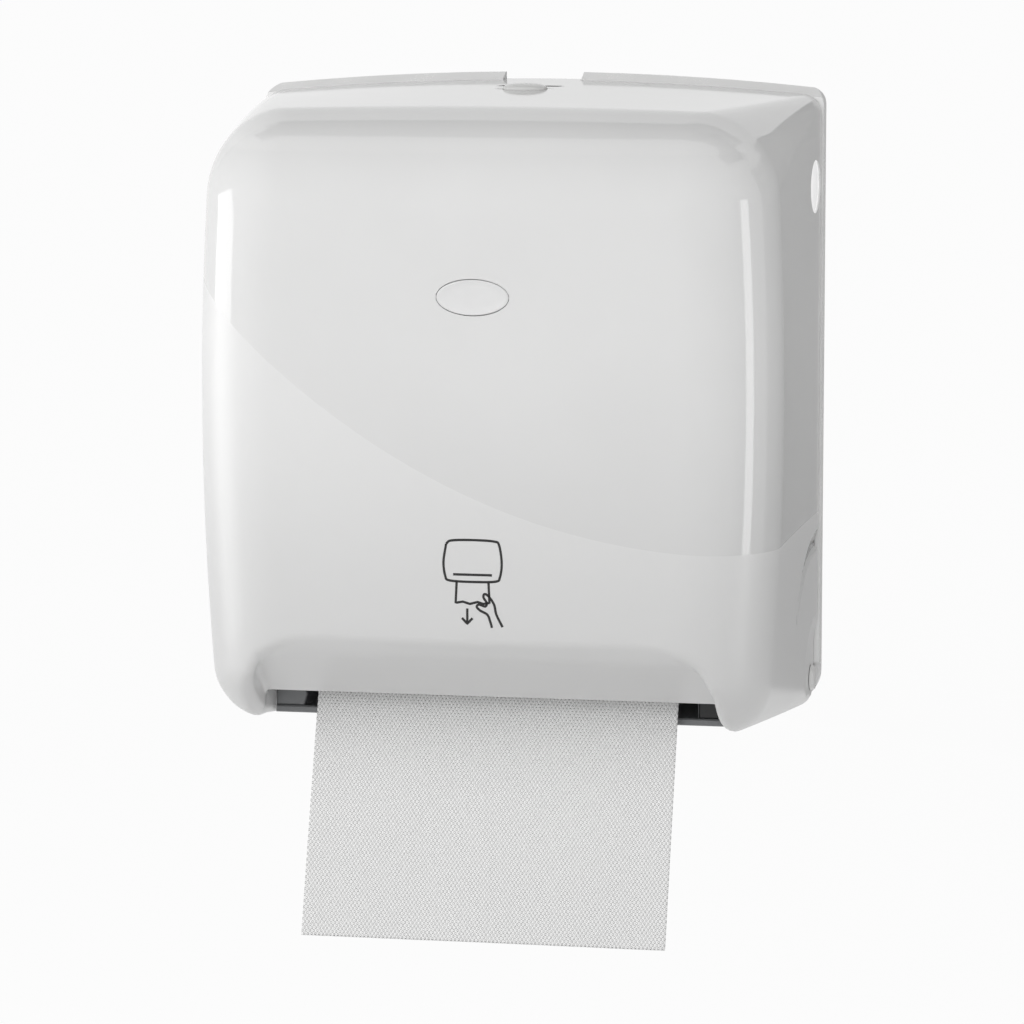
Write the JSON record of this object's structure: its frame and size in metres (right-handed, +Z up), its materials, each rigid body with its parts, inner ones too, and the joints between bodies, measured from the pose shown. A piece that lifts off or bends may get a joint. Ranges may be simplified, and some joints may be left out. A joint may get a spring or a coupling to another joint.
{
  "type": "automatic roll towel dispenser",
  "caption": "Wall-mounted mechanical roll towel dispenser: hinged rounded cover with press lock over a feed drum with saw-toothed knife, pinch roller and paper roll.",
  "frame": {"origin": "on the wall face of the back plate, at mid width and mid height of the case", "axes": "+Z up, +Y into the wall, the front faces -Y, +X to the right seen from the front"},
  "size_m": [0.335, 0.221, 0.4839],
  "materials": {
    "cover_white": "gloss upper field, satin lower field",
    "case_white": "satin moulded",
    "badge": "satin",
    "window": "smoked translucent",
    "frame_grey": "satin moulded",
    "roll_arm": "satin moulded",
    "drum": "satin moulded",
    "acetal": "natural, slightly waxy",
    "feed_wheel": "satin moulded",
    "grip_rubber": "matte",
    "steel": "bright zinc plated",
    "blade_steel": "ground and polished",
    "latch_metal": "pressed sheet, plated",
    "spring_steel": "drawn wire",
    "hinge_cap": "satin moulded",
    "towel": "embossed tissue",
    "towel_roll": "wound embossed tissue",
    "core_board": "spiral wound board"
  },
  "bodies": {
    "wall_unit": {"back_plate": "case_white", "side_frame_left": "frame_grey", "side_frame_right": "frame_grey", "chassis_tray": "frame_grey", "drum_bushes": "acetal", "cam_ring": "acetal", "frame_screws": "steel", "roll_arm_left": "roll_arm", "arm_bracket": "roll_arm", "arm_pin": "steel", "arm_screws": "steel", "hinge_pins": "hinge_cap", "lock_strike": "latch_metal", "strike_screws": "steel", "cradle_rod": "steel", "pawl_pin": "steel", "drive_spring": "spring_steel", "pinch_springs": "spring_steel", "towel_sheet": "towel"},
    "cover": {"front_cover": "cover_white", "badge_plate": "badge", "level_windows": "window", "lock_housing": "frame_grey", "lock_screws": "steel", "lock_spring": "spring_steel"},
    "button": {"lock_button": "case_white", "latch_hook": "latch_metal", "latch_screw": "steel"},
    "drum": {"drum_shell_front": "drum", "drum_shell_rear": "drum", "drum_cap_left": "frame_grey", "drum_cap_right": "frame_grey", "drum_grips": "grip_rubber", "drum_axle": "steel", "spring_crank": "acetal", "stop_wheel": "acetal", "feed_wheel": "feed_wheel", "drum_screws": "steel"},
    "knife": {"knife_carrier": "frame_grey", "knife_blade": "blade_steel", "knife_rod": "steel", "knife_rivets": "steel", "cam_arm": "acetal"},
    "cradle": {"pinch_cradle": "frame_grey"},
    "pinch_roller": {"pinch_shaft": "steel", "pinch_sleeves": "grip_rubber"},
    "towel_roll": {"roll_core": "core_board", "paper_roll": "towel_roll"},
    "roll_arm": {"roll_arm_right": "roll_arm"},
    "pawl": {"stop_pawl": "acetal"}
  },
  "joints": [
    {"name": "cover_hinge", "type": "hinge", "parent": "wall_unit", "child": "cover", "pos_m": [0, -0.0265, -0.1675], "axis": [1, 0, 0], "range_deg": [0, 88], "deforming": ["towel_sheet"]},
    {"name": "button_press", "type": "slide", "parent": "cover", "child": "button", "axis": [0, 0, -1], "range_m": [0, 0.004], "stiffness_N_per_m": 400, "springref_m": -0.003, "deforming": ["lock_spring"]},
    {"name": "drum_spin", "type": "hinge", "parent": "wall_unit", "child": "drum", "pos_m": [0, -0.086, -0.104], "axis": [1, 0, 0], "continuous": true, "deforming": ["drive_spring"]},
    {"name": "knife_swing", "type": "hinge", "parent": "drum", "child": "knife", "pos_m": [0, -0.09666, -0.13377], "axis": [1, 0, 0], "range_deg": [0, 40], "stiffness_Nm_per_rad": 0.1, "springref_deg": -28.65, "deforming": ["towel_sheet"]},
    {"name": "cradle_lift", "type": "hinge", "parent": "wall_unit", "child": "cradle", "pos_m": [0, -0.097, -0.045], "axis": [-1, 0, 0], "range_deg": [0, 8], "stiffness_Nm_per_rad": 0.6, "springref_deg": -17.19, "deforming": ["pinch_springs"]},
    {"name": "pinch_spin", "type": "hinge", "parent": "cradle", "child": "pinch_roller", "pos_m": [0, -0.12025, -0.06717], "axis": [1, 0, 0], "continuous": true},
    {"name": "roll_spin", "type": "hinge", "parent": "wall_unit", "child": "towel_roll", "pos_m": [0, -0.104, 0.049], "axis": [1, 0, 0], "continuous": true},
    {"name": "arm_flex", "type": "hinge", "parent": "wall_unit", "child": "roll_arm", "pos_m": [0.1145, -0.017, 0.049], "axis": [0, 0, 1], "range_deg": [0, 8], "stiffness_Nm_per_rad": 1.5, "springref_deg": -5.73},
    {"name": "pawl_drop", "type": "hinge", "parent": "wall_unit", "child": "pawl", "pos_m": [0.121, -0.058, -0.139], "axis": [-1, 0, 0], "range_deg": [0, 8]}
  ],
  "couplings": [
    {"joint": "roll_spin", "follows": "drum_spin", "ratio": -0.48595},
    {"joint": "pinch_spin", "follows": "drum_spin", "ratio": -4.2124}
  ]
}
